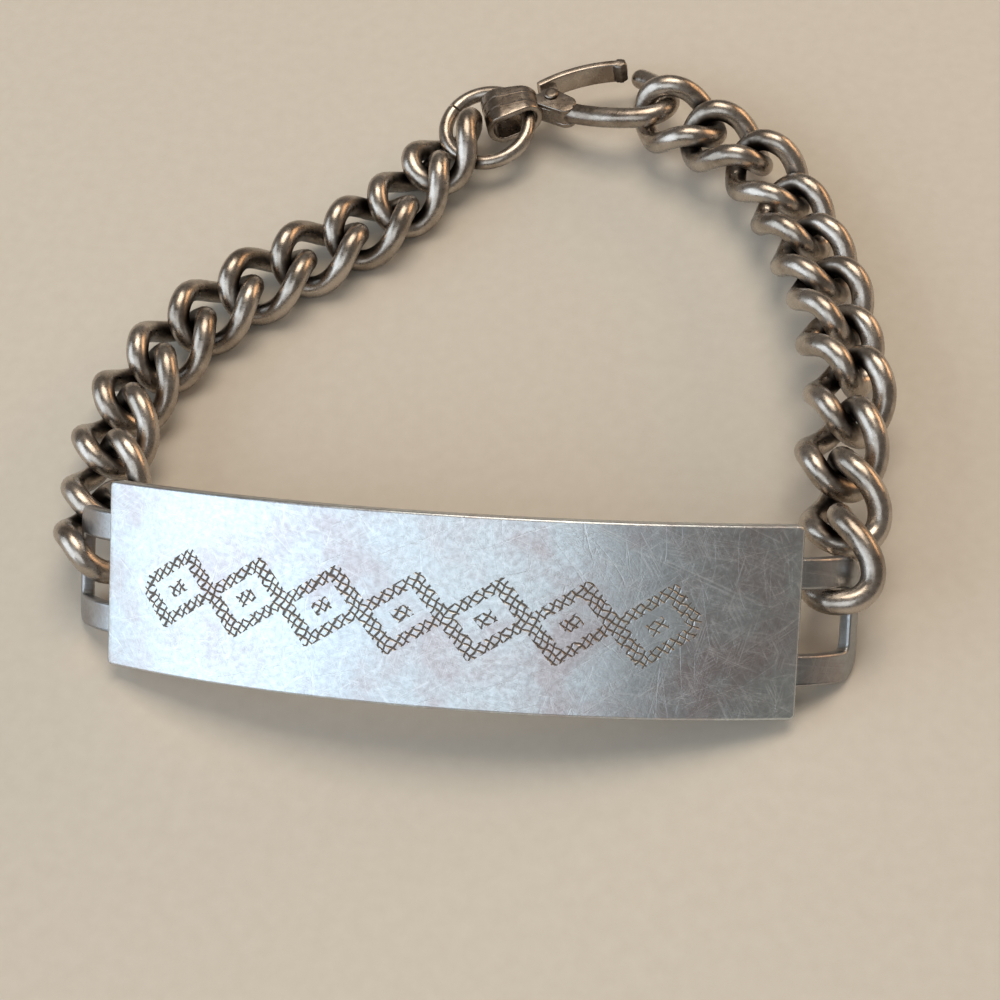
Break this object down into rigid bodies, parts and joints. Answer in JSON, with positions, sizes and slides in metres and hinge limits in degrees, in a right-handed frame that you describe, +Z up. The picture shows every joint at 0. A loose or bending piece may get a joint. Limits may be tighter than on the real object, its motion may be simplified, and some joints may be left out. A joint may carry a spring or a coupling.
{
  "type": "id bracelet",
  "caption": "Curb chain identity bracelet with a curved plate between two slotted end loops, closed by a snap hook on a jump ring.",
  "frame": {"origin": "on the surface that the bracelet lies on, under the middle of its bounding box", "axes": "+Z up from the surface, +X along the chord of the plate towards the viewer's right, +Y from the plate towards the clasp"},
  "size_m": [0.0592, 0.0627, 0.0138],
  "materials": {
    "plate_metal": "polished, finely scratched",
    "chain_metal": "worn polish with dark tarnish in the recesses",
    "clasp_metal": "worn polish with dark tarnish in the recesses"
  },
  "bodies": {
    "bracelet": {"plate": "plate_metal", "jump_ring": "chain_metal", "clasp_hook": "clasp_metal", "clasp_pin": "clasp_metal", "left_link_01": "chain_metal", "left_link_02": "chain_metal", "left_link_03": "chain_metal", "left_link_04": "chain_metal", "left_link_05": "chain_metal", "left_link_06": "chain_metal", "left_link_07": "chain_metal", "left_link_08": "chain_metal", "left_link_09": "chain_metal", "left_link_10": "chain_metal", "left_link_11": "chain_metal", "right_link_01": "chain_metal", "right_link_02": "chain_metal", "right_link_03": "chain_metal", "right_link_04": "chain_metal", "right_link_05": "chain_metal", "right_link_06": "chain_metal", "right_link_07": "chain_metal", "right_link_08": "chain_metal", "right_link_09": "chain_metal", "right_link_10": "chain_metal", "right_link_11": "chain_metal"},
    "tongue": {"clasp_tongue": "clasp_metal"}
  },
  "joints": [
    {"name": "tongue_hinge", "type": "hinge", "parent": "bracelet", "child": "tongue", "pos_m": [0.00056, 0.02633, 0.0031], "axis": [0, 0, 1], "range_deg": [-14, 0], "stiffness_Nm_per_rad": 0.002, "springref_deg": 8.59}
  ]
}
